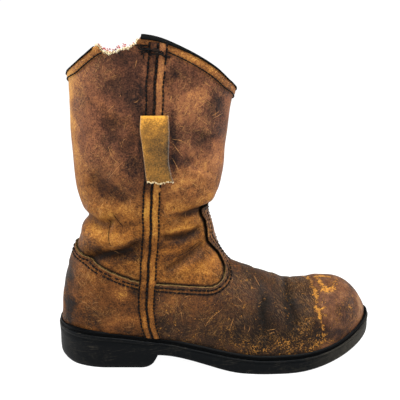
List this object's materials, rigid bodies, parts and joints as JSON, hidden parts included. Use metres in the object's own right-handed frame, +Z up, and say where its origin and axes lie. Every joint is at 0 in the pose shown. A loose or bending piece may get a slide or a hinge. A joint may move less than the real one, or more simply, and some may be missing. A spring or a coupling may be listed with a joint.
{
  "type": "work boot",
  "caption": "Worn brown leather pull-on work boot, right foot, with scalloped collar torn at the side, stitched side seam, hanging pull strap and black rubber sole with heel.",
  "frame": {"origin": "on the floor, under the middle of the boot's bounding box", "axes": "+X from heel to toe, +Y from the outer (lateral) to the inner (medial) side of this right boot, +Z up from the floor to the collar"},
  "size_m": [0.3084, 0.102, 0.3155],
  "materials": {
    "sole_rubber": "matt scuffed black rubber, dusty brown at the toe and the heel's back",
    "welt_rubber": "smoother black rubber with a dull shine",
    "insole_leather": "matt, darkened by wear",
    "shaft_leather": "oiled pull-up leather, mottled, scratched and creased",
    "vamp_leather": "dark, dirty and crackled, with orange-tan scuffs",
    "counter_leather": "oiled pull-up leather, scuffed",
    "binding_leather": "black, satin",
    "strap_suede": "olive-gold suede, rubbed and dirty"
  },
  "bodies": {
    "root": {"outsole": "sole_rubber", "welt": "welt_rubber", "insole": "insole_leather", "upper": "shaft_leather", "vamp": "vamp_leather", "counter": "counter_leather", "binding": "binding_leather", "pull_strap": "strap_suede"}
  },
  "joints": []
}
